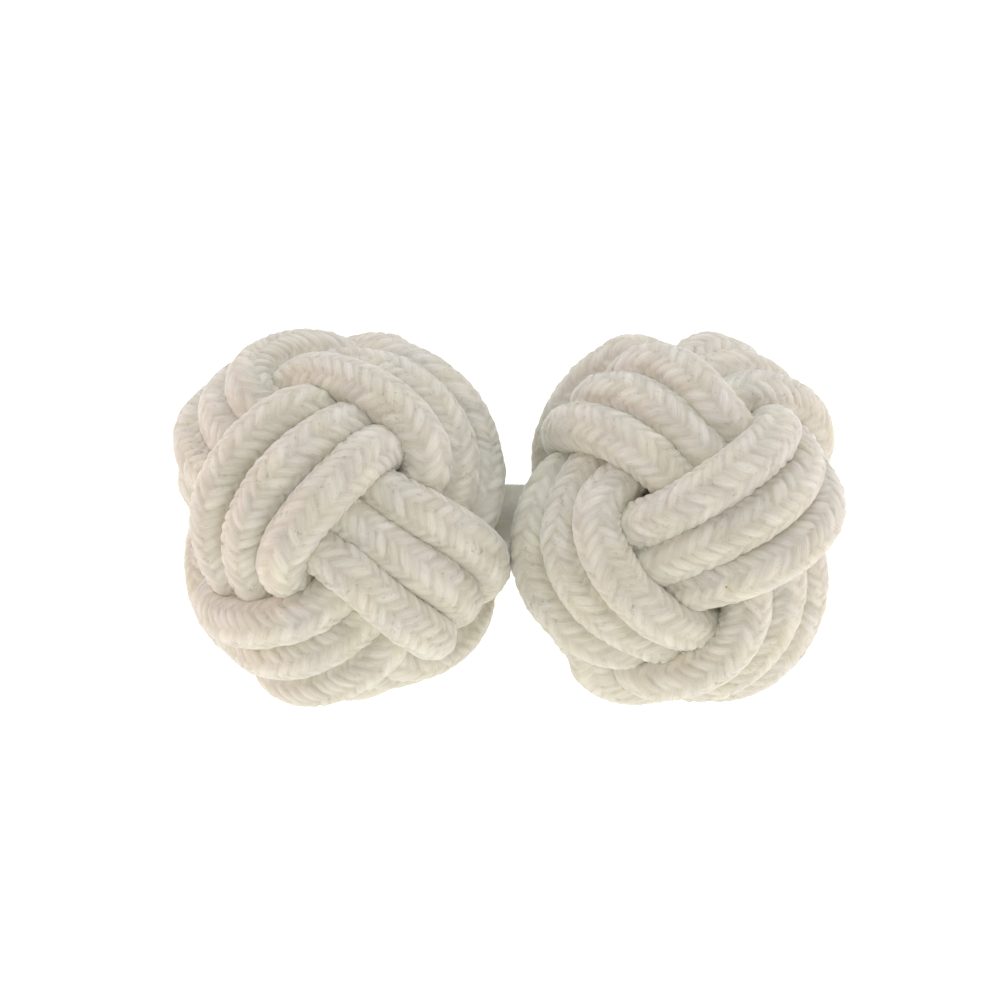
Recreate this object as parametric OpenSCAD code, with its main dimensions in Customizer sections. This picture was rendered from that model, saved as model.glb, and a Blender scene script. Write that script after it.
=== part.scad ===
// Silk knot cuff button: two ball knots of silk cord joined by a short elastic
// loop. Each knot is one long cord that runs three times, side by side, round a
// woven route with five crossings above the knot's waist and five below it.
// Millimetres. The pair lies on z = 0 with its length along X.

/* [Knots] */
// Distance from the left knot's middle to the middle of its cord
left_r = 5.2; // [4.8:0.05:5.6]
// Distance from the right knot's middle to the middle of its cord
right_r = 5; // [4.8:0.05:5.6]
// Length of the left knot along its own axis, as a share of its width
left_flat = 1.01; // [0.96:0.01:1.04]
// Length of the right knot along its own axis, as a share of its width
right_flat = 1; // [0.96:0.01:1.04]
// Distance between the middles of the two knots
knot_spacing = 12; // [12:0.05:12.6]
// How far the cord rises and dips where bands pass over and under each other
weave_h = 0.56; // [0.4:0.02:0.7]

/* [Cord] */
// Diameter of the loose cord
cord_d = 1.8; // [1.6:0.02:1.9]
// Distance between the middles of the three side by side runs
run_pitch = 1.6; // [1.5:0.02:1.7]
// Gap left between two squeezed stretches of cord
cord_gap = 0.12; // [0.08:0.01:0.2]

/* [Elastic link] */
// Diameter of each of the loop's two legs
leg_d = 1.25; // [1:0.05:1.25]
// Distance between the middles of the two legs
leg_pitch = 1.3; // [1.3:0.05:1.4]
// Diameter of the round anchor in each knot's hollow
anchor_d = 5.6; // [4.6:0.1:5.8]

/* [Rest] */
// Turn of the whole pair about X that lays it on its three lowest cords
rest_roll = 6; // [-10:0.5:10]
// Turn of the whole pair about Y that lays it on its three lowest cords
rest_pitch = -1.5; // [-4:0.5:4]

/* [Hidden] */

silk = [0.9, 0.88, 0.83];
elastic = [0.7, 0.7, 0.69];
eps = 0.001;

// The even route on a sphere: swings in latitude, with a small third wave,
// while the longitude runs on at 0.6 of the pace and sways
lat_swing = 44;
lat_wave = 1.4;
lon_pace = 0.6;
lon_sway = 4.6;
// One run closes after five swings
swings = 5;
runs = 3;
run_turn = swings * 360;
// Where the cord starts and ends, far from the viewer, and the stretch over
// which it shifts across to the next run
start_turn = 1565;
shift_turn = 50;

// Tripled bands cross on two rings of five places
ring_lat = atan(0.5);
ring_count = 5;
ring_step = 360 / ring_count;
crossings = [
    for (i = [0:ring_count - 1]) on_sphere(ring_step * (i + 0.5), ring_lat),
    for (i = [0:ring_count - 1]) on_sphere(ring_step * i, -ring_lat)
];
// How far round the sphere a pulled crossing takes its surroundings along
pull_reach = 0.5;

// How each knot was pulled tight by hand: degrees by which each crossing sits
// east and north of its even place, upper ring first
LEFT_PULLS = [
    [5, -5], [20, 5], [0, 0], [0, 0], [-5, -5],
    [-10, -5], [5, 0], [0, 0], [0, 0], [-5, 0]
];
RIGHT_PULLS = [
    [-5, 10], [15, -20], [0, 0], [0, 0], [-5, -5],
    [-20, 5], [5, -20], [10, 5], [0, 0], [0, 0]
];

// Columns of a knot's row: cord distance, flatness, pulls, the knot's turn
// about Z, its axis's tilt from Z, its spin about its axis, and its middle
R = 0;
FLAT = 1;
PULLS = 2;
TURN = 3;
TILT = 4;
SPIN = 5;
MIDDLE = 6;
// The left knot lies a little further back and higher than the right one
left_back = 0.1;
left_rise = 0.15;
left_middle = [-knot_spacing / 2, left_back, left_rise];
right_middle = [knot_spacing / 2, 0, 0];
left_row = [left_r, left_flat, LEFT_PULLS, -172, 89, 104, left_middle];
right_row = [right_r, right_flat, RIGHT_PULLS, 0, 93, -165, right_middle];

// Rings along one knot's cord, and corners round each ring
ring_total = 358;
sides = 8;

// Settling: neighbouring stretches push each other apart until they are a
// squeezed width apart, while the cord stays near its drawn route
settle_steps = 50;
squeezed_d = 0.8 * cord_d;
push_reach = 1.5 * squeezed_d;
rise_weight = 1.25;
push_share = 0.5;
even_share = 0.06;
route_share = 0.02;
// The link's legs hold the cord's middle this far off the link's own line
leg_room = 0.1;
hold_r = leg_pitch / 2 + leg_d / 2 + cord_d / 2 + leg_room;
hold_share = 0.5;

// Pressing: a ring is flattened by stretches this near, unless they are this
// near along the cord itself
press_reach = 1.15 * cord_d;
own_reach = 1.2 * cord_d;
// Half of the turn over which the route's own direction is taken
aim_turn = 0.5;

function unit(v) = v / norm(v);
function on_sphere(lon, lat) = [cos(lat) * cos(lon), cos(lat) * sin(lon), sin(lat)];
function smooth(x) = let (s = max(0, min(1, x))) s * s * (3 - 2 * s);
function total(list) = [for (v = list) 1] * list;
function flattened(p, flat) = [p.x, p.y, p.z * flat];

// The direction of the even route at a turn, then with its crossings pulled
function even_way(turn) =
    on_sphere(lon_pace * turn + lon_sway * sin(2 * turn),
              lat_swing * cos(turn) + lat_wave * cos(3 * turn));

function pull_moves(pulls) = [
    for (i = [0:len(crossings) - 1])
        let (east = unit(cross([0, 0, 1], crossings[i])), north = cross(crossings[i], east))
        (pulls[i][0] * east + pulls[i][1] * north) * PI / 180
];

function pulled_way(turn, moves) =
    let (way = even_way(turn),
         hold = [for (c = crossings) exp(-pow(norm(way - c) / pull_reach, 2) / 2)],
         all_hold = hold * [for (c = crossings) 1])
    unit(way + hold * moves / all_hold);

// A point of the cord's middle: beside the route by its run, and above or
// below it by the weave
function laid_point(row, moves, turn, run) =
    let (way = pulled_way(turn, moves),
         ahead = pulled_way(turn + aim_turn, moves) - pulled_way(turn - aim_turn, moves),
         side = unit(cross(way, ahead)),
         slip = run * run_pitch / row[R] * 180 / PI,
         r = row[R] + weave_h * sin(2 * turn) / sin(60))
    flattened((way * cos(slip) + side * sin(slip)) * r, row[FLAT]);

function drawn_route(row) =
    let (moves = pull_moves(row[PULLS]),
         first = shift_turn / 2,
         step = (runs * run_turn - shift_turn) / (ring_total - 1))
    [
        for (i = [0:ring_total - 1])
            let (turn = first + i * step,
                 run = smooth((turn - run_turn) / shift_turn + 0.5)
                     + smooth((turn - 2 * run_turn) / shift_turn + 0.5) - 1)
            laid_point(row, moves, start_turn + turn, run)
    ];

// The route's points with the midpoints between them
function halved(line) = [
    for (i = [0:2 * len(line) - 2])
        (line[floor(i / 2)] + line[ceil(i / 2)]) / 2
];

// Distance along the route at each point
function along(line) = [
    for (i = 0, s = 0; i < len(line);
         s = s + (i + 1 < len(line) ? norm(line[i + 1] - line[i]) : 0), i = i + 1) s
];

// For each ring, the half-steps of other stretches that could touch it
function touching(line) =
    let (halves = halved(line), s = along(line), step = s[len(s) - 1] / (len(s) - 1),
         own = ceil(push_reach / step))
    [
        for (i = [0:len(line) - 1]) [
            for (j = [0:len(halves) - 1])
                if (abs(j / 2 - i) > own && norm(halves[j] - line[i]) < push_reach) j
        ]
    ];

// The push on a point from another stretch, where rising counts more
function push(p, q) =
    let (apart = p - q, out = unit(p + q),
         felt = apart + (rise_weight - 1) * (apart * out) * out,
         d = max(norm(felt), eps))
    d < squeezed_d ? [felt * (squeezed_d / d - 1) / 2] : [];

function pushes(line, near) =
    let (halves = halved(line))
    [
        for (i = [0:len(line) - 1])
            let (felt = [for (j = near[i]) each push(line[i], halves[j])])
            len(felt) > 0 ? total(felt) / sqrt(len(felt)) : [0, 0, 0]
    ];

// The push that opens the hole for the link, which leaves the knot's middle
// along the way given
function held_off(p, link_way) =
    let (off = p - (p * link_way) * link_way, d = norm(off))
    p * link_way > 0 && d < hold_r ? off * (hold_r / d - 1) : [0, 0, 0];

function settled_once(line, route, near, link_way) =
    let (p = pushes(line, near), last = len(line) - 1)
    [
        for (i = [0:last])
            let (a = max(i - 1, 0), b = min(i + 1, last),
                 felt = (p[a] + 2 * p[i] + p[b]) / 4,
                 even = i > 0 && i < last ? (line[a] + line[b]) / 2 - line[i] : [0, 0, 0])
            line[i] + push_share * felt + even_share * even
                + route_share * (route[i] - line[i])
                + hold_share * held_off(line[i], link_way)
    ];

function settled(line, route, near, link_way, steps) =
    steps == 0 ? line
    : settled(settled_once(line, route, near, link_way), route, near, link_way, steps - 1);

// Corners of the cord's rings: each is pressed in to the plane halfway to any
// neighbouring stretch of cord
function cord_rings(line) =
    let (last = len(line) - 1, fine = halved(line), s = along(line), sf = along(fine))
    [
        for (i = [0:last])
            let (ahead = unit(line[min(i + 1, last)] - line[max(i - 1, 0)]),
                 up = unit(line[i] - (line[i] * ahead) * ahead),
                 side = cross(ahead, up),
                 near = [
                     for (j = [0:len(fine) - 1])
                         if (abs(sf[j] - s[i]) > own_reach && norm(fine[j] - line[i]) < press_reach)
                             fine[j] - line[i]
                 ])
            [
                for (k = [0:sides - 1])
                    let (n = up * cos(k * 360 / sides) + side * sin(k * 360 / sides))
                    line[i] + n * pressed_r(n, near)
            ]
    ];

function pressed_r(n, near) = min([
    cord_d / 2,
    for (v = near) if (n * v > eps) v * v / (2 * n * v) - cord_gap / 2
]);

// From a knot's own frame to the laid pair
function about_x(a) = [[1, 0, 0], [0, cos(a), -sin(a)], [0, sin(a), cos(a)]];
function about_y(a) = [[cos(a), 0, sin(a)], [0, 1, 0], [-sin(a), 0, cos(a)]];
function about_z(a) = [[cos(a), -sin(a), 0], [sin(a), cos(a), 0], [0, 0, 1]];
rest_turn = about_y(rest_pitch) * about_x(rest_roll);
link_line = right_middle - left_middle;

function placed_rings(row, link_way) =
    let (route = drawn_route(row),
         pose = about_z(row[TURN]) * about_y(row[TILT]) * about_z(row[SPIN]),
         line = settled(route, route, touching(route), link_way * pose, settle_steps))
    [for (ring = cord_rings(line)) [for (p = ring) rest_turn * (pose * p + row[MIDDLE])]];

left_rings = placed_rings(left_row, unit(link_line));
right_rings = placed_rings(right_row, -unit(link_line));
corners = [for (ring = concat(left_rings, right_rings)) each ring];

// The pair stands on z = 0, centred in X and Y
xs = [for (p = corners) p.x];
ys = [for (p = corners) p.y];
zs = [for (p = corners) p.z];
to_origin = [-(min(xs) + max(xs)) / 2, -(min(ys) + max(ys)) / 2, -min(zs)];

// Skin between rings and a flat cap at each end
function skin_faces(count) = concat(
    [
        for (i = [0:count - 2], k = [0:sides - 1])
            let (a = i * sides + k, b = i * sides + (k + 1) % sides)
            each [[a, b + sides, b], [a, a + sides, b + sides]]
    ],
    [[for (k = [0:sides - 1]) k]],
    [[for (k = [0:sides - 1]) count * sides - 1 - k]]
);

module cord_knot(rings) {
    translate(to_origin)
        polyhedron([for (ring = rings) each ring], skin_faces(len(rings)), convexity = 12);
}

module left_knot() {
    color(silk)
        cord_knot(left_rings);
}

module right_knot() {
    color(silk)
        cord_knot(right_rings);
}

// The two legs run between round anchors that fill the knots' hollows
link_len = norm(link_line);
link_turn = atan2(link_line.y, link_line.x);
link_dip = -asin(link_line.z / link_len);

module elastic_link() {
    color(elastic)
        translate(to_origin)
            rotate([rest_roll, rest_pitch, 0])
                translate(left_middle)
                    rotate([0, link_dip, link_turn])
                        union() {
                            for (x = [0, link_len])
                                translate([x, 0, 0])
                                    rotate([0, 0, 90])
                                        sphere(d = anchor_d, $fn = 48);
                            for (side = [-1, 1])
                                translate([0, 0, side * leg_pitch / 2])
                                    rotate([0, 90, 0])
                                        cylinder(d = leg_d, h = link_len, $fn = 32);
                        }
}

left_knot();
right_knot();
elastic_link();
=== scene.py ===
import bpy
import numpy as np
from mathutils import Matrix, Vector


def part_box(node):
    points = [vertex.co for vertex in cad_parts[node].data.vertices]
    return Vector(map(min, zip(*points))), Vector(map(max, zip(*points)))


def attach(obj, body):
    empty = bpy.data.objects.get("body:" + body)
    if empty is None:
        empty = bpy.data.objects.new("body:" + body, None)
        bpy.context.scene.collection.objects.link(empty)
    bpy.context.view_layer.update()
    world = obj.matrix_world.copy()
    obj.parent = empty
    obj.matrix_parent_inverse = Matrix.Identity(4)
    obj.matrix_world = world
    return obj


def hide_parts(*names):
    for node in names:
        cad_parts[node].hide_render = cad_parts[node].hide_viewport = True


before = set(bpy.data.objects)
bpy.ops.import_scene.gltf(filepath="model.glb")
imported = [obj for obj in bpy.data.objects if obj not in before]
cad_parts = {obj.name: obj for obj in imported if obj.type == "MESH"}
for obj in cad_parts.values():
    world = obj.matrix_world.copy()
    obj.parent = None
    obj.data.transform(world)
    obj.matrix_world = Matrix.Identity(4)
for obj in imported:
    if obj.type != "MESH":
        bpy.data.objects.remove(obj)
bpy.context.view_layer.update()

# The woven route. Each ball is a knot of one silk cord, led round a sphere in
# five swings over and under itself and then doubled twice, side by side. The
# maker lays it loosely and pulls the crossings tight one by one. Lengths are in
# millimetres and angles in radians.
MM = 0.001
SWINGS = 5
RUNS = 3
RUN_TURN = SWINGS * 2 * np.pi
START_TURN = np.radians(1565)
SHIFT_TURN = np.radians(50)
LAT_SWING = np.radians(44)
LAT_WAVE = np.radians(1.4)
LON_PACE = 0.6
LON_SWAY = np.radians(4.6)
WEAVE_H = 0.56
RUN_PITCH = 1.6
CORD_D = 1.8
PULL_REACH = 0.5
CROSSING_LAT = np.arctan(0.5)
ROUTE_POINTS = 358
SLOPE_STEP = np.radians(0.5)
# Columns: degrees east, degrees north; five upper crossings, then five lower
LEFT_PULLS = [[5, -5], [20, 5], [0, 0], [0, 0], [-5, -5],
              [-10, -5], [5, 0], [0, 0], [0, 0], [-5, 0]]
RIGHT_PULLS = [[-5, 10], [15, -20], [0, 0], [0, 0], [-5, -5],
               [-20, 5], [5, -20], [10, 5], [0, 0], [0, 0]]


def unit(v):
    """Each vector divided by its length."""
    return v / np.linalg.norm(v, axis=-1, keepdims=True)


def on_sphere(lon, lat):
    """Unit vector at a longitude and a latitude."""
    lon, lat = np.broadcast_arrays(lon, lat)
    return np.stack([np.cos(lat) * np.cos(lon), np.cos(lat) * np.sin(lon), np.sin(lat)], -1)


def even_way(turn):
    """Longitude runs on at 0.6 of the turn and sways twice a swing; latitude is
    a cosine of the turn with a small third wave."""
    return on_sphere(LON_PACE * turn + LON_SWAY * np.sin(2 * turn),
                     LAT_SWING * np.cos(turn) + LAT_WAVE * np.cos(3 * turn))


def pulled_way(turn, pulls):
    """The even way plus the pulls of the ten crossings, each weighted by a bell
    of its distance, and brought back to the sphere."""
    fifths = np.arange(SWINGS) * 2 * np.pi / SWINGS
    upper = on_sphere(fifths + np.pi / SWINGS, CROSSING_LAT)
    places = np.concatenate([upper, on_sphere(fifths, -CROSSING_LAT)])
    east = unit(np.cross([0.0, 0.0, 1.0], places))
    north = np.cross(places, east)
    moves = np.radians(pulls[:, :1]) * east + np.radians(pulls[:, 1:]) * north
    way = even_way(turn)
    apart = np.linalg.norm(way[:, None] - places, axis=2)
    hold = np.exp(-(apart / PULL_REACH) ** 2 / 2)
    return unit(way + hold @ moves / hold.sum(1, keepdims=True))


def smooth(x):
    """3x^2 - 2x^3 between 0 and 1."""
    x = np.clip(x, 0, 1)
    return x * x * (3 - 2 * x)


def drawn_route(radius, flat, pulls):
    """The way times the radius, slipped sideways by the run's number times the
    pitch, with a rise: the weave's height times the sine of twice the turn, over
    the sine of 60 degrees."""
    turn = np.linspace(SHIFT_TURN / 2, RUNS * RUN_TURN - SHIFT_TURN / 2, ROUTE_POINTS)
    first_shift = smooth((turn - RUN_TURN) / SHIFT_TURN + 0.5)
    second_shift = smooth((turn - 2 * RUN_TURN) / SHIFT_TURN + 0.5)
    run = first_shift + second_shift - 1
    turn = turn + START_TURN
    way = pulled_way(turn, pulls)
    slope = pulled_way(turn + SLOPE_STEP, pulls) - pulled_way(turn - SLOPE_STEP, pulls)
    side = unit(np.cross(way, slope))
    slip = (run * RUN_PITCH / radius)[:, None]
    r = radius + WEAVE_H * np.sin(2 * turn) / np.sin(np.pi / 3)
    return (way * np.cos(slip) + side * np.sin(slip)) * r[:, None] * [1, 1, flat]


# Tightening. Pulled tight, the stretches of cord push each other apart until
# they lie side by side, and the elastic's legs hold the hole at the inner end
# open. The soft cord flattens where it is pressed.
SETTLE_STEPS = 50
SQUEEZED_D = 0.8 * CORD_D
PUSH_REACH = 1.5 * SQUEEZED_D
RISE_WEIGHT = 1.25
PUSH_SHARE = 0.5
EVEN_SHARE = 0.06
ROUTE_SHARE = 0.02
HOLD_SHARE = 0.5
LEG_D = 1.25
LEG_PITCH = 1.3
HOLD_SLACK = 0.1
HOLD_R = LEG_PITCH / 2 + LEG_D / 2 + CORD_D / 2 + HOLD_SLACK
TINY = 0.001


def halved(line):
    """The points with the midpoints between them."""
    fine = np.empty((2 * len(line) - 1, 3))
    fine[0::2] = line
    fine[1::2] = (line[1:] + line[:-1]) / 2
    return fine


def along(line):
    """Distance along the line at each point."""
    return np.concatenate([[0], np.cumsum(np.linalg.norm(np.diff(line, axis=0), axis=1))])


def softened(a, n, axis):
    """Running mean of three with weights 1, 2, 1, n times: open along
    axis 0, closed round axis 1."""
    for _ in range(n):
        if axis == 0:
            a = (np.concatenate([a[:1], a[:-1]]) + 2 * a + np.concatenate([a[1:], a[-1:]])) / 4
        else:
            a = (np.roll(a, 1, 1) + 2 * a + np.roll(a, -1, 1)) / 4
    return a


def settled(route, link_way):
    """Repeats: each point moves by half of what is missing to the squeezed width
    from every stretch near it, a little towards its neighbours' middle and its
    drawn place, and off the link's line."""
    step = along(route)[-1] / (len(route) - 1)
    own = np.ceil(PUSH_REACH / step)
    gap = np.linalg.norm(route[:, None] - halved(route)[None], axis=2)
    order = np.abs(np.arange(len(route))[:, None] - np.arange(2 * len(route) - 1)[None] / 2)
    a, b = np.nonzero((order > own) & (gap < PUSH_REACH))
    line = route.copy()
    for _ in range(SETTLE_STEPS):
        p, q = line[a], halved(line)[b]
        out = unit(p + q)
        felt = p - q + (RISE_WEIGHT - 1) * ((p - q) * out).sum(1, keepdims=True) * out
        d = np.maximum(np.linalg.norm(felt, axis=1), TINY)
        hit = d < SQUEEZED_D
        push = felt[hit] * ((SQUEEZED_D / d[hit] - 1) / 2)[:, None]
        total = np.stack([np.bincount(a[hit], push[:, i], len(line)) for i in range(3)], 1)
        total /= np.sqrt(np.maximum(np.bincount(a[hit], minlength=len(line)), 1))[:, None]
        before = np.concatenate([line[:1], line[:-1]])
        after = np.concatenate([line[1:], line[-1:]])
        even = (before + after) / 2 - line
        even[[0, -1]] = 0
        spread = softened(total, 1, 0)
        off = line - (line @ link_way)[:, None] * link_way
        d_off = np.linalg.norm(off, axis=1)
        held = (line @ link_way > 0) & (d_off < HOLD_R)
        opened = np.where(held[:, None], off * (HOLD_R / d_off - 1)[:, None], 0)
        line = (line + PUSH_SHARE * spread + EVEN_SHARE * even
                + ROUTE_SHARE * (route - line) + HOLD_SHARE * opened)
    return line


CURVE_CUTS = 24


def refined(line, step):
    """Catmull-Rom curve through the points: between two of them a cubic with the
    slopes of their neighbours' chords, cut into equal steps."""
    ends = np.concatenate([[2 * line[0] - line[1]], line, [2 * line[-1] - line[-2]]])
    t = np.linspace(0, len(line) - 1, CURVE_CUTS * len(line))
    i = np.minimum(t.astype(int), len(line) - 2)
    u = (t - i)[:, None]
    a, b, c, d = ends[i], ends[i + 1], ends[i + 2], ends[i + 3]
    square = (2 * a - 5 * b + 4 * c - d) * u ** 2
    cube = (3 * b - a - 3 * c + d) * u ** 3
    curve = 0.5 * (2 * b + (c - a) * u + square + cube)
    s = along(curve)
    even = np.linspace(0, s[-1], int(s[-1] / step) + 1)
    return np.stack([np.interp(even, s, curve[:, k]) for k in range(3)], 1)


def ring_axes(line):
    """Along, outward from the knot's middle, and sideways, at each point."""
    ahead = unit(np.gradient(line, axis=0))
    up = unit(line - (line * ahead).sum(1, keepdims=True) * ahead)
    return ahead, up, np.cross(ahead, up)


PRESS_STEP = 0.25
PRESS_INTO = 0.13
PRESS_ROUND = 0.05
# How far from a pressing plane the painted light in the creases reaches
CREASE_LIGHT_REACH = 0.25
OWN_STRETCH = 1.2 * CORD_D
NEAR_REACH = 1.15 * CORD_D
NEAR_POINTS = 110
OUT_OF_REACH = 1e6
UNPRESSED = 9


def spokes(up, side, angles):
    """Unit vectors round each ring: up times the cosine plus side times the sine."""
    return up[:, None] * np.cos(angles)[None, :, None] + side[:, None] * np.sin(angles)[None, :, None]


def pressed_radii(line, angles, radius):
    """For each ring and direction, the distance to the nearest of the planes
    halfway to the other stretches, blended softly with the free radius; and how
    near that plane is, 1 where it is reached and 0 beyond the painted crease light."""
    _, up, side = ring_axes(line)
    s = along(line)
    way = line[None] - line[:, None]
    d2 = (way ** 2).sum(-1)
    other = (np.abs(s[:, None] - s[None]) > OWN_STRETCH) & (d2 < NEAR_REACH ** 2)
    ranked = np.where(other, d2, OUT_OF_REACH)
    pick = np.argpartition(ranked, NEAR_POINTS, axis=1)[:, :NEAR_POINTS]
    d2 = np.take_along_axis(ranked, pick, 1)
    way = np.take_along_axis(way, pick[..., None], 1)
    toward = np.einsum("rak,rnk->ran", spokes(up, side, angles), way)
    plane = np.where(toward > TINY, d2[:, None] / (2 * np.maximum(toward, TINY)), UNPRESSED)
    plane = np.minimum(plane.min(2) + PRESS_INTO / 2, 2 * radius)
    mix = np.clip(0.5 + 0.5 * (plane - radius) / PRESS_ROUND, 0, 1)
    r = plane * (1 - mix) + radius * mix - PRESS_ROUND * mix * (1 - mix)
    near = np.clip(1 - (plane - radius) / CREASE_LIGHT_REACH, 0, 1)
    return softened(softened(r, 2, 0), 2, 1), softened(softened(near, 2, 0), 1, 1)


# The braid. The cord is a round braid of silky rayon yarn over a soft core:
# eight columns of flat stitches that lean to and fro in turn, each tucked under
# its neighbours' edges, and each made of fine parallel filaments.
COLUMNS = 8
STITCH_STEP = 0.37
STITCH_SLANT = 1.15
STITCH_REACH = 0.66
STITCH_H = 0.11
STITCH_LEN = 1.05
STITCH_WIDEN = 0.3
STITCH_LATE = 0.36
STITCH_LEAN = 0.4
STITCH_DOME = 0.7
STITCH_LEAST = 0.65
CHANCES = 997
WAVES = (1, 1.7, 2.9)
WAVE_START = 6.28
RING_STEP = 0.0545
AROUND = 34


def braid_relief(u, v, seed):
    """Height 0 to 1 and a random tone: the highest of the stitches near by, in
    the column under v and in the nearest beside it. A stitch is a leaf: one
    minus the squares of the places along and across it, to the dome's power,
    and a little wider, lower, later or more slanted than its neighbours."""
    chance = np.random.default_rng(seed).random((5, CHANCES))
    height = np.zeros(u.shape)
    tone = np.full(u.shape, 0.5)
    for beside in (0, 1):
        column = np.floor(v)
        column = column + beside * np.sign(v - column - 0.5)
        across = v - column - 0.5
        odd = np.mod(column, 2)
        phase = u + (1 - 2 * odd) * STITCH_SLANT * across + odd / 2
        for shift in (-1, 0, 1):
            number = np.round(phase) + shift
            stitch = np.mod(number * COLUMNS + np.mod(column, COLUMNS), CHANCES).astype(int)
            late, tall, wide, lean, own = chance[:, stitch]
            late = STITCH_LATE * (late - 0.5) + STITCH_LEAN * (lean - 0.5) * across
            place = (phase - number + late) / (STITCH_LEN + STITCH_WIDEN * wide)
            leaf = 1 - (2 * place) ** 2 - (across / STITCH_REACH) ** 2
            leaf = np.maximum(leaf, 0) ** STITCH_DOME * (STITCH_LEAST + (1 - STITCH_LEAST) * tall)
            tone = np.where(leaf > height, own, tone)
            height = np.maximum(height, leaf)
    return height, tone


def wander(s, length, seed):
    """Smooth random wave along s, about -1 to 1: half the sum of three sines
    with random starts."""
    rng = np.random.default_rng(seed)
    waves = [np.sin(2 * np.pi * s / (length * k) + rng.uniform(0, WAVE_START)) for k in WAVES]
    return sum(waves) / 2


def surface(name, points, corners, sizes):
    """An object of faces with these corner numbers, in turn, and corner counts."""
    mesh = bpy.data.meshes.new(name)
    mesh.vertices.add(len(points))
    mesh.vertices.foreach_set("co", points.ravel())
    mesh.loops.add(len(corners))
    mesh.loops.foreach_set("vertex_index", corners)
    mesh.polygons.add(len(sizes))
    mesh.polygons.foreach_set("loop_start", np.cumsum(sizes) - sizes)
    mesh.polygons.foreach_set("use_smooth", np.ones(len(sizes), bool))
    made = bpy.data.objects.new(name, mesh)
    bpy.context.scene.collection.objects.link(made)
    return made


def grid_mesh(name, rings, maps):
    """Quads between neighbouring rings of points, outward side out, and a fan
    of triangles on a middle point at each end. Each map gives a pair of numbers
    at every corner, the first corner's repeated after the last."""
    n, m, _ = rings.shape
    points = np.concatenate([rings.reshape(-1, 3), rings[[0, -1]].mean(1)])
    i, j = np.meshgrid(np.arange(n - 1), np.arange(m), indexing="ij")
    k = (j + 1) % m
    quads = np.stack([i * m + j, i * m + k, (i + 1) * m + k, (i + 1) * m + j], -1)
    k = (j[0] + 1) % m
    first = np.stack([k, j[0], np.full(m, n * m)], -1)
    last = np.stack([(n - 1) * m + j[0], (n - 1) * m + k, np.full(m, n * m + 1)], -1)
    fans = np.concatenate([first, last])
    made = surface(name, points, np.concatenate([quads.ravel(), fans.ravel()]),
                   np.concatenate([np.full(quads.size // 4, 4), np.full(len(fans), 3)]))
    for key, pairs in maps.items():
        on_quads = np.stack([pairs[i, j], pairs[i, j + 1], pairs[i + 1, j + 1], pairs[i + 1, j]], 2)
        values = np.concatenate([on_quads.ravel(), np.zeros(2 * fans.size)])
        made.data.uv_layers.new(name=key).data.foreach_set("uv", values)
    made.data.update(calc_edges=True)
    made.data.validate()
    return made


class Value:
    """A shader socket that can be used in sums, products and remainders."""

    def __init__(self, tree, socket):
        self.tree = tree
        self.socket = socket

    def do(self, operation, *others):
        """One Math node on this value and the others."""
        node = self.tree.nodes.new("ShaderNodeMath")
        node.operation = operation
        for slot, value in zip(node.inputs, (self, *others)):
            if isinstance(value, Value):
                self.tree.links.new(value.socket, slot)
            else:
                slot.default_value = value
        return Value(self.tree, node.outputs[0])

    def __add__(self, other):
        return self.do("ADD", other)

    def __radd__(self, other):
        return self.do("ADD", other)

    def __mul__(self, other):
        return self.do("MULTIPLY", other)

    def __rmul__(self, other):
        return self.do("MULTIPLY", other)

    def __sub__(self, other):
        return self.do("SUBTRACT", other)

    def __rsub__(self, other):
        return (self * -1.0).do("ADD", other)

    def __mod__(self, other):
        return self.do("FLOORED_MODULO", other)

    def floor(self):
        return self.do("FLOOR")

    def abs(self):
        return self.do("ABSOLUTE")

    def sine(self):
        return self.do("SINE")

    def clipped(self):
        """Held between 0 and 1."""
        return self.do("MAXIMUM", 0.0).do("MINIMUM", 1.0)


class Finish:
    """A material with one Principled shader, and short ways to add nodes."""

    def __init__(self, name):
        self.material = bpy.data.materials.new(name)
        self.material.use_nodes = True
        self.tree = self.material.node_tree
        self.shader = self.tree.nodes["Principled BSDF"]

    def node(self, kind, settings=None, **sockets):
        """A node of this type: its settings first, then its sockets' values or
        links, by the socket's name or, as i0 or i1, by its number."""
        made = self.tree.nodes.new(kind)
        for key, value in (settings or {}).items():
            setattr(made, key, value)
        for key, value in sockets.items():
            numbered = key[0] == "i" and key[1:].isdigit()
            self.put(made.inputs[int(key[1:]) if numbered else key], value)
        return made

    def put(self, slot, value):
        """Links a socket or value, or sets a plain number or colour."""
        if isinstance(value, Value):
            self.tree.links.new(value.socket, slot)
        elif isinstance(value, bpy.types.NodeSocket):
            self.tree.links.new(value, slot)
        else:
            slot.default_value = value

    def value(self, socket):
        """A socket as a value for sums."""
        return Value(self.tree, socket)

    def pair(self, uv_map):
        """The two numbers of one of the piece's own maps."""
        place = self.node("ShaderNodeUVMap", {"uv_map": uv_map}).outputs[0]
        split = self.node("ShaderNodeSeparateXYZ", Vector=place)
        return self.value(split.outputs[0]), self.value(split.outputs[1])

    def here(self):
        """The place on the object, in its own coordinates."""
        return self.node("ShaderNodeTexCoord").outputs["Object"]

    def blend(self, share, a, b):
        """Colour a where the share is 0 and b where it is 1."""
        mix = self.node("ShaderNodeMix", {"data_type": "RGBA"})
        self.put(mix.inputs[0], share)
        self.put(mix.inputs[6], a)
        self.put(mix.inputs[7], b)
        return mix.outputs[2]

    def set(self, **sockets):
        """Sets or links the shader's sockets, with spaces written as low lines."""
        for key, value in sockets.items():
            self.put(self.shader.inputs[key.replace("_", " ")], value)


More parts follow.
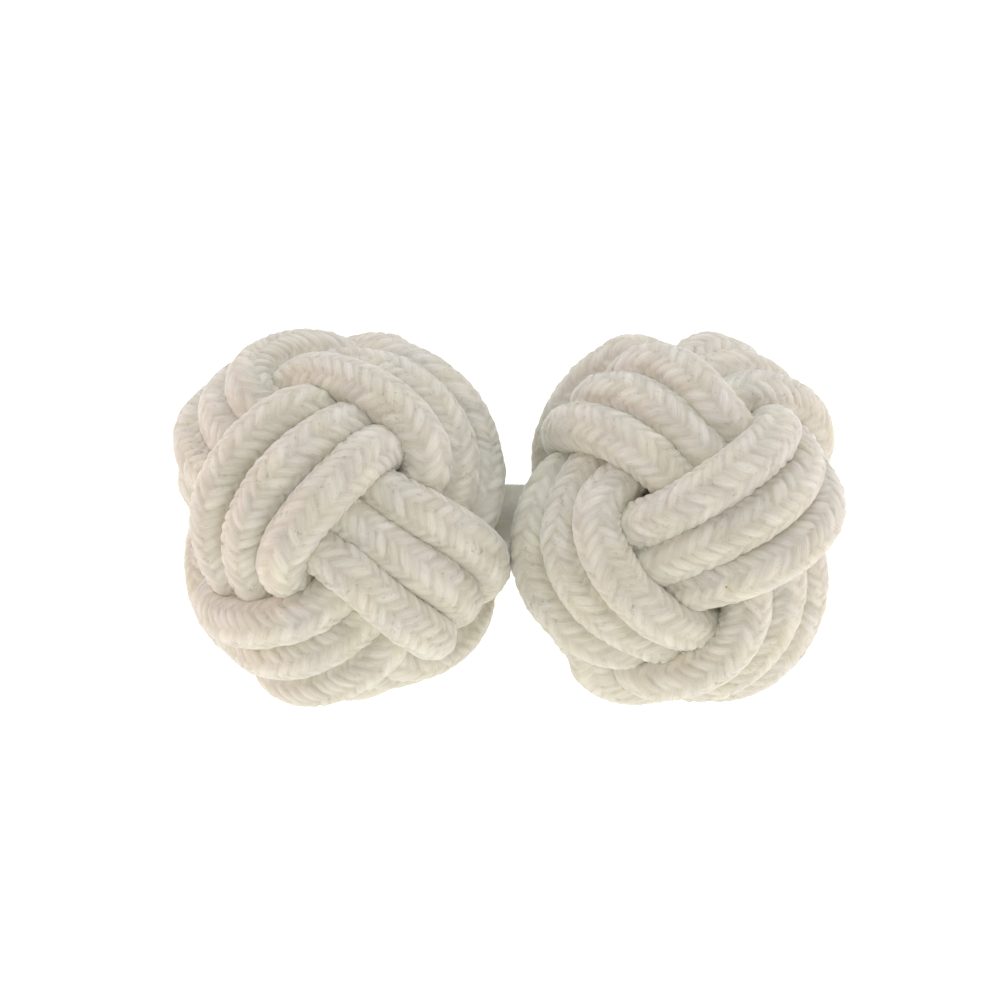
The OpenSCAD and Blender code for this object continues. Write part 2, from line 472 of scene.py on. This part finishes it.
CREAM = (0.63, 0.60, 0.48, 1)
CREAM_BRIGHT = (0.79, 0.765, 0.65, 1)
GREY = (0.605, 0.585, 0.53, 1)
GREY_BRIGHT = (0.755, 0.74, 0.695, 1)
# Painted shade, laid in the stitches' low rims
SILK_RIM_SHADE = (0.57, 0.53, 0.44, 1)
# A pale yarn colour: the loose fibres' own colour, and painted light in the creases where cords press
# together
SILK_PALE_AND_CREASE_LIGHT = (0.95, 0.91, 0.76, 1)
DIRT = (0.18, 0.14, 0.06, 1)
RUST = (0.58, 0.41, 0.20, 1)
LIGHT_REACH = (1.0, 0.92, 0.8)
CLOUD_SCALE = 700.0
CLOUD_CONTRAST = 3.0
FILAMENTS = 7.0
FILAMENT_PACE = 1.6
COLUMN_JUMP = 5.0
STRAND_SHINE = 1.7
STITCH_SHINE = 0.8
# The painted shade in the stitches' low rims: where it starts, how sharply it grows and how strong it is
RIM_SHADE_TOP = 0.85
RIM_SHADE_SHARP = 1.8
RIM_SHADE_SHARE = 0.5
SILK_ROUGH = 0.62
STRAND_GLOSS = 0.2
SPECK_CLOUD = 0.9
SPECK_STRAND = 1.4
SPECK_SHARP = 3.0
# Specks caught in the yarn: place and reach in millimetres, strength, colour
SPECKS = [
    ((-7.01, -6.11, 9.25), 0.05, 0.3, DIRT), ((-6.92, -6.11, 9.20), 0.06, 0.4, DIRT),
    ((-6.83, -6.11, 9.14), 0.05, 0.3, DIRT), ((-6.43, -6.03, 9.17), 0.06, 0.25, DIRT),
    ((-5.91, -5.25, 8.58), 0.06, 0.4, DIRT), ((-1.52, -4.49, 8.73), 0.06, 0.4, DIRT),
    ((0.71, -3.28, 7.19), 0.06, 0.5, DIRT), ((1.09, -3.60, 6.87), 0.08, 0.5, DIRT),
    ((7.47, -5.78, 7.22), 0.07, 0.6, RUST), ((7.54, -5.80, 7.13), 0.08, 0.6, RUST),
    ((7.38, -5.74, 7.27), 0.06, 0.6, DIRT)
]


def cloudy(made):
    """Slow noise over the knot, and from it the share of grey in the cream: the
    noise's distance from its middle times a contrast, 0 to 1."""
    noise = made.node("ShaderNodeTexNoise", Vector=made.here(), Scale=CLOUD_SCALE, Detail=3.0)
    cloud = made.value(noise.outputs[0])
    return cloud, ((cloud - 0.5) * CLOUD_CONTRAST + 0.5).clipped()


def silk_finish():
    """Colour and bump follow the stitches of the braid map: each stitch has its
    own tone, its filaments run along it, and its low rims carry painted shade.
    Where cords press together the yarn is paler, as painted light in the crease."""
    made = Finish("silk_braid")
    u, v = made.pair("braid")
    height, tone = made.pair("stitch")
    pressed, _ = made.pair("press")
    column = v.floor()
    odd = column % 2.0
    across = v - column - 0.5
    phase = u + (1.0 - 2.0 * odd) * across * STITCH_SLANT + odd * 0.5
    thread = made.node("ShaderNodeCombineXYZ", X=phase * FILAMENTS, Y=across * FILAMENT_PACE,
                       Z=column * COLUMN_JUMP + tone)
    noise = made.node("ShaderNodeTexNoise", Vector=thread.outputs[0], Scale=1.0, Detail=2.0, Roughness=0.55)
    strands = made.value(noise.outputs[0])
    cloud, cool = cloudy(made)
    # Painted shade: darker where the stitch is low, at its rims
    painted_rim_shade = ((RIM_SHADE_TOP - height) * RIM_SHADE_SHARP).clipped()
    shine = ((strands - 0.5) * STRAND_SHINE + (tone - 0.5) * STITCH_SHINE + 0.5).clipped()
    base = made.blend(shine, made.blend(cool, CREAM, GREY), made.blend(cool, CREAM_BRIGHT, GREY_BRIGHT))
    base = made.blend(painted_rim_shade * RIM_SHADE_SHARE, base, SILK_RIM_SHADE)
    # Painted light: the yarn is paler in the creases where cords press together
    base = made.blend(pressed, base, SILK_PALE_AND_CREASE_LIGHT)
    here = made.here()
    ragged = (cloud - 0.5) * SPECK_CLOUD + (strands - 0.5) * SPECK_STRAND
    for place, reach, strength, colour in SPECKS:
        middle = np.array(place) * MM
        apart = made.node("ShaderNodeVectorMath", {"operation": "DISTANCE"}, i0=here, i1=middle)
        reached = made.value(apart.outputs["Value"]) * (1 / (reach * MM))
        speck = ((1.0 + ragged - reached) * SPECK_SHARP).clipped()
        base = made.blend(speck * strength, base, colour)
    bump = made.node("ShaderNodeBump", Strength=0.7, Distance=0.00004, Height=strands)
    made.set(Base_Color=base, Roughness=SILK_ROUGH - strands * STRAND_GLOSS, Normal=bump.outputs[0],
             Sheen_Weight=0.8, Sheen_Roughness=0.45, Subsurface_Weight=0.4, Subsurface_Scale=0.001,
             Subsurface_Radius=LIGHT_REACH)
    return made.material


def fuzz_finish():
    """Clean yarn going grey with the silk's own cloud, on fibres that let light
    through."""
    made = Finish("silk_fuzz")
    _, cool = cloudy(made)
    made.set(Base_Color=made.blend(cool, SILK_PALE_AND_CREASE_LIGHT, GREY_BRIGHT), Roughness=0.6,
             Subsurface_Weight=1.0, Subsurface_Scale=0.0005, Subsurface_Radius=LIGHT_REACH)
    return made.material


# The two ball knots, 11 to 13 mm across, of one silk cord each. The maker ties
# both the same way and tucks the cord's ends under a band at the back, so no end
# shows. Wear has raised short loose fibres on the cord's outer side.
def about(axis, degrees):
    """Turn about a main axis as a 3 by 3 array."""
    return np.array(Matrix.Rotation(np.radians(degrees), 3, axis))


REST = about("Y", -1.5) @ about("X", 6)
KNOT_SPACING = 12
LEFT_MIDDLE = np.array([-KNOT_SPACING / 2, 0.1, 0.15])
RIGHT_MIDDLE = np.array([KNOT_SPACING / 2, 0, 0])
LINK_WAY = unit(RIGHT_MIDDLE - LEFT_MIDDLE)
# name: cord distance, flatness, pulls, turn, tilt, spin, and the link's sense
KNOTS = {
    "left_knot": (5.2, 1.01, LEFT_PULLS, -172, 89, 104, 1),
    "right_knot": (5.0, 1.0, RIGHT_PULLS, 0, 93, -165, -1),
}
FUZZ_COUNT = 7000
FUZZ_R = 0.011
FUZZ_LEN = (0.15, 0.5)
FUZZ_LIFT = (0.08, 0.35)
FUZZ_ROOT = 0.02
FUZZ_CORNERS = 3
SPIKE_FACES = np.array([[0, 1, 3], [1, 2, 3], [2, 0, 3], [2, 1, 0]])
SUNK_SHARE = 0.8
EVEN_ANGLES = 0.62
OUTER_POWER = 7
LEAST_SQUASH = 0.3
# Size of a slow random change, and its length along the cord
PACE_WANDER = (0.4, 5)
TWIST_WANDER = (0.6, 23)
HEIGHT_WANDER = (0.15, 3)
COLUMN_START = 20 * COLUMNS
silk = silk_finish()
fuzz = fuzz_finish()


def ride_knot(made, node, finish):
    """Gives a mesh its finish and puts it in place of the knot's plain solid."""
    made.data.materials.append(finish)
    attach(made, "root")
    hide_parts(node)


def lay_fuzz(node, rings, ahead, out, seed):
    """Short loose fibres on the outer side of the cord. Each is a spike on three
    corners, from just under a random point of the rings, along the cord's line
    turned by a random angle over the surface and lifted a little off it."""
    rng = np.random.default_rng(seed)
    i = rng.integers(0, len(rings), FUZZ_COUNT)
    j = rng.integers(AROUND // 4, AROUND * 3 // 4, FUZZ_COUNT)
    way, up = ahead[i], out[i, j]
    swing = rng.uniform(0, 2 * np.pi, FUZZ_COUNT)[:, None]
    lift = rng.uniform(*FUZZ_LIFT, FUZZ_COUNT)[:, None]
    way = unit(np.cos(swing) * way + np.sin(swing) * np.cross(way, up) + lift * up)
    root = rings[i, j] - FUZZ_ROOT * MM * up
    tip = root + rng.uniform(*FUZZ_LEN, FUZZ_COUNT)[:, None] * MM * way
    flat = unit(np.cross(way, up))
    turns = np.arange(FUZZ_CORNERS) * 2 * np.pi / FUZZ_CORNERS
    base = root[:, None] + FUZZ_R * MM * spokes(flat, np.cross(way, flat), turns)
    points = np.concatenate([base, tip[:, None]], 1).reshape(-1, 3)
    points[:, 2] = np.maximum(points[:, 2], 0)
    first = np.arange(FUZZ_COUNT)[:, None, None] * (FUZZ_CORNERS + 1)
    corners = (first + SPIKE_FACES).reshape(-1, 3)
    made = surface(f"{node}_fuzz", points, corners.ravel(), np.full(len(corners), 3))
    made.data.update(calc_edges=True)
    ride_knot(made, node, fuzz)


def lay_knot(node, seed):
    """The settled cord as three meshes, one a run, set in the middle of its
    node's box: points round the line at the pressed radius plus the braid's
    height, closer together on the inner side."""
    radius, flat, pulls, turn, tilt, spin, sense = KNOTS[node]
    pose = about("Z", turn) @ about("Y", tilt) @ about("Z", spin)
    line = settled(drawn_route(radius, flat, np.array(pulls, float)), sense * LINK_WAY @ pose)
    t = np.arange(AROUND) * 2 / AROUND - 1
    angles = np.pi * (EVEN_ANGLES * t + (1 - EVEN_ANGLES) * t ** OUTER_POWER)
    coarse = refined(line, PRESS_STEP)
    fine = refined(line, RING_STEP)
    s = along(fine)
    base_r = CORD_D / 2 - SUNK_SHARE * STITCH_H
    at = np.linspace(0, len(coarse) - 1, len(fine))
    low = np.minimum(at.astype(int), len(coarse) - 2)
    r, near = (a[low] + (a[low + 1] - a[low]) * (at - low)[:, None]
               for a in pressed_radii(coarse, angles, base_r))
    ahead, up, side = ring_axes(fine)
    normal = spokes(up, side, angles)
    u = s / STITCH_STEP + PACE_WANDER[0] * wander(s, PACE_WANDER[1], seed)
    twist = TWIST_WANDER[0] * wander(s, TWIST_WANDER[1], seed + 1)
    v = np.append(angles, np.pi)[None] / (2 * np.pi) * COLUMNS + twist[:, None] + COLUMN_START
    u = np.broadcast_to(u[:, None], v.shape)
    height, tone = braid_relief(u, v, seed + 3)
    squash = np.clip(r / base_r, LEAST_SQUASH, 1)
    near = np.concatenate([near, near[:, :1]], 1)
    # The press map carries the share of painted light in the creases between cords
    maps = {"braid": np.stack([u, v], -1), "stitch": np.stack([height, tone], -1),
            "press": np.stack([near, near], -1)}
    swell = 1 + HEIGHT_WANDER[0] * wander(s, HEIGHT_WANDER[1], seed + 2)
    height = STITCH_H * swell[:, None] * height[:, :-1]
    rings = fine[:, None] + normal * (r + height * squash)[..., None]
    rings = rings @ (REST @ pose).T * MM
    box = np.array(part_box(node)).mean(0)
    rings += box - (rings.min((0, 1)) + rings.max((0, 1))) / 2
    rings[..., 2] -= min(rings[..., 2].min(), 0)
    cuts = np.linspace(0, len(fine) - 1, RUNS + 1).astype(int)
    for run in range(RUNS):
        part = slice(cuts[run], cuts[run + 1] + 1)
        run_maps = {key: pairs[part] for key, pairs in maps.items()}
        made = grid_mesh(f"{node}_run_{run + 1}", rings[part], run_maps)
        ride_knot(made, node, silk)
    lay_fuzz(node, rings, ahead @ (REST @ pose).T, normal @ (REST @ pose).T, seed + 5)


lay_knot("left_knot", 11)
lay_knot("right_knot", 23)

# The elastic link: one short loop of elastic in a cover of fine wound yarn. Its
#  two legs lie one above the other between the knots, the upper one with painted
#  shade on its top. Each end is wound up with silk yarn into a ball that fills the
#  knot's hollow, where it is sewn fast.
LEG_RIB = 0.17
LEG_RIB_H = 0.015
LEG_STEP = 0.05
LEG_AROUND = 28
ANCHOR_D = 5.6
YARN_W = 0.34
YARN_H = 0.12
YARN_LEAN = np.radians(35)
ANCHOR_RINGS = 170
ANCHOR_AROUND = 44
POLE_GAP = 0.01
YARN_FILAMENTS = 9.0
YARN_PACE = 1.5
# Share of painted shade in the yarn turns' grooves, against their crests
GROOVE_SHADE_SHARE = 0.4
# Painted shade on the upper leg's top: how sharply it grows and where it starts
TOP_SHADE_SHARP = 1.6
TOP_SHADE_START = 0.6
# The darker cover and anchor yarn colours give the yarn's own darker fibres and the painted shade in the
# grooves
COVER_DARK_AND_GROOVE_SHADE = (0.93, 0.91, 0.82, 1)
COVER_BRIGHT = (0.97, 0.96, 0.90, 1)
# Painted shade for the upper leg's top
COVER_TOP_SHADE = (0.49, 0.48, 0.43, 1)
YARN_DARK_AND_GROOVE_SHADE = (0.56, 0.53, 0.44, 1)
YARN_BRIGHT = (0.80, 0.77, 0.67, 1)
LINK_LEN = np.linalg.norm(RIGHT_MIDDLE - LEFT_MIDDLE)
link_middle = np.array(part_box("elastic_link")).mean(0)
link_x = REST @ LINK_WAY
link_y = unit(np.cross([0, 0, 1], link_x))
link_z = np.cross(link_x, link_y)


def in_link(x, y, z):
    """Points from millimetres along, across and above the link's middle: the
    middle plus each distance times its unit vector."""
    return link_middle + (x[..., None] * link_x + y[..., None] * link_y + z[..., None] * link_z) * MM


def rib(turns):
    """Height 0 to 1 of round yarn turns: the root of the sine's size."""
    return np.sqrt(np.abs(np.sin(np.pi * turns)))


def dress_link(name, rings, s, angles, finish):
    """A closed surface with its length and angle as the map."""
    maps = {"wound": np.stack(np.broadcast_arrays(s, np.append(angles, angles[0] + 2 * np.pi)[None]), -1)}
    made = grid_mesh(name, rings, maps)
    made.data.materials.append(finish)
    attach(made, "root")
    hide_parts("elastic_link")


def wound_finish(name, dark, light, rib_w, top_shade=None):
    """Yarn turns with painted shade in their grooves and fine filaments along
    them. Painted shade lies on the upper side, by the sine of the angle round the yarn."""
    made = Finish(name)
    length, angle = made.pair("wound")
    turns = length * (1 / rib_w) + angle * (1 / (2 * np.pi))
    lay = made.node("ShaderNodeCombineXYZ", X=turns * YARN_FILAMENTS, Y=angle * YARN_PACE, Z=0.0)
    noise = made.node("ShaderNodeTexNoise", Vector=lay.outputs[0], Scale=1.0, Detail=2.0)
    fine = made.value(noise.outputs[0])
    # Painted shade: darker in each turn's groove, lighter on its crest
    crest = ((turns + 0.5) % 1.0 - 0.5).abs() * 2.0
    tone = (fine + (crest - 0.5) * GROOVE_SHADE_SHARE).clipped()
    bump = made.node("ShaderNodeBump", Strength=0.5, Distance=0.00002, Height=fine)
    base = made.blend(tone, dark, light)
    # Painted shade on the upper side, by the sine of the angle round the yarn
    if top_shade:
        base = made.blend((angle.sine() * TOP_SHADE_SHARP - TOP_SHADE_START).clipped(), base, top_shade)
    made.set(Base_Color=base, Roughness=0.7, Normal=bump.outputs[0],
             Sheen_Weight=0.2, Subsurface_Weight=1.0, Subsurface_Scale=0.002,
             Subsurface_Radius=LIGHT_REACH)
    return made.material


top_shaded_cover = wound_finish("top_shaded_elastic_cover", COVER_DARK_AND_GROOVE_SHADE, COVER_BRIGHT, LEG_RIB, COVER_TOP_SHADE)
clean_cover = wound_finish("clean_elastic_cover", COVER_DARK_AND_GROOVE_SHADE, COVER_BRIGHT, LEG_RIB)
anchor_yarn = wound_finish("anchor_yarn", YARN_DARK_AND_GROOVE_SHADE, YARN_BRIGHT, YARN_W)

# Each leg is a tube whose radius follows the yarn's turns along a screw
s = np.arange(-LINK_LEN / 2, LINK_LEN / 2, LEG_STEP)[:, None]
a = np.arange(LEG_AROUND) * 2 * np.pi / LEG_AROUND
# The upper leg's cover has painted shade on its top
for name, side, cover in (("upper_leg", 1, top_shaded_cover), ("lower_leg", -1, clean_cover)):
    r = LEG_D / 2 - LEG_RIB_H + LEG_RIB_H * rib(s / LEG_RIB + a / (2 * np.pi))
    rings = in_link(s + 0 * r, r * np.cos(a), side * LEG_PITCH / 2 + r * np.sin(a))
    dress_link(name, rings, s, a, cover)

# Each anchor is a ball whose radius follows the turns from pole to pole, with
# the poles leaned over
s = np.linspace(POLE_GAP, np.pi - POLE_GAP, ANCHOR_RINGS)[:, None]
a = np.arange(ANCHOR_AROUND) * 2 * np.pi / ANCHOR_AROUND
for name, side in (("left_anchor", -1), ("right_anchor", 1)):
    r = ANCHOR_D / 2 - YARN_H + YARN_H * rib(s * ANCHOR_D / 2 / YARN_W + a / (2 * np.pi))
    x = side * LINK_LEN / 2 + r * np.sin(s) * np.cos(a)
    y = r * np.sin(s) * np.sin(a)
    z = -r * np.cos(s)
    rings = in_link(x, y * np.cos(YARN_LEAN) - z * np.sin(YARN_LEAN),
                    y * np.sin(YARN_LEAN) + z * np.cos(YARN_LEAN))
    dress_link(name, rings, s * ANCHOR_D / 2, a, anchor_yarn)

# The stage: a pale sheet under and behind the pair, soft light from above and
# both sides, and the camera at the photograph's angle.
ELEVATION = 29.5
DISTANCE = 140
FRAME_W = 34.9
AIM = np.array([0.174, -0.217, 6.46])
AIM_SLIDE = (-0.243, 0.625)
ROLL = -1.5
FLOOR_W = 4
ROOM_LIGHT = 0.62
LAMP_AIM = (0, 0, 6)

floor_finish = Finish("white_sheet")
floor_finish.set(Base_Color=(0.2, 0.2, 0.2, 1), Roughness=0.9, Specular_IOR_Level=0.0,
                 Emission_Color=(1, 0.97, 0.88, 1), Emission_Strength=1.14)
bpy.ops.mesh.primitive_plane_add(size=FLOOR_W)
floor = bpy.context.object
floor.name = "floor"
floor.data.materials.append(floor_finish.material)

world = bpy.data.worlds.new("studio")
world.use_nodes = True
backdrop = world.node_tree.nodes["Background"]
backdrop.inputs["Color"].default_value = (1, 1, 1, 1)
backdrop.inputs["Strength"].default_value = ROOM_LIGHT
bpy.context.scene.world = world


def lamp(name, place, size, power, colour):
    """A square soft light at a place in millimetres, aimed at the pair."""
    data = bpy.data.lights.new(name, "AREA")
    data.size = size * MM
    data.energy = power
    data.color = colour
    made = bpy.data.objects.new(name, data)
    made.location = Vector(place) * MM
    made.rotation_euler = (Vector(LAMP_AIM) - Vector(place)).to_track_quat("-Z", "Y").to_euler()
    bpy.context.scene.collection.objects.link(made)


lamp("top_light", (-30, 60, 220), 260, 0.225, (0.95, 1, 1))
lamp("left_light", (-180, -10, 45), 120, 0.06, (1, 0.3, 0.3))
lamp("right_light", (180, -10, 45), 120, 0.1, (1, 0.76, 0.78))

turn = Matrix.Rotation(np.radians(ROLL), 3, "Y") @ Matrix.Rotation(np.radians(90 - ELEVATION), 3, "X")
camera_data = bpy.data.cameras.new("camera")
camera_data.sensor_width = 36
camera_data.lens = camera_data.sensor_width * DISTANCE / FRAME_W
camera_data.clip_start = 0.01
camera_data.clip_end = 10
camera = bpy.data.objects.new("camera", camera_data)
stand = Vector(AIM) + turn @ Vector((*AIM_SLIDE, DISTANCE))
camera.matrix_world = Matrix.Translation(stand * MM) @ turn.to_4x4()
bpy.context.scene.collection.objects.link(camera)
bpy.context.scene.camera = camera
bpy.context.scene.view_settings.view_transform = "Standard"
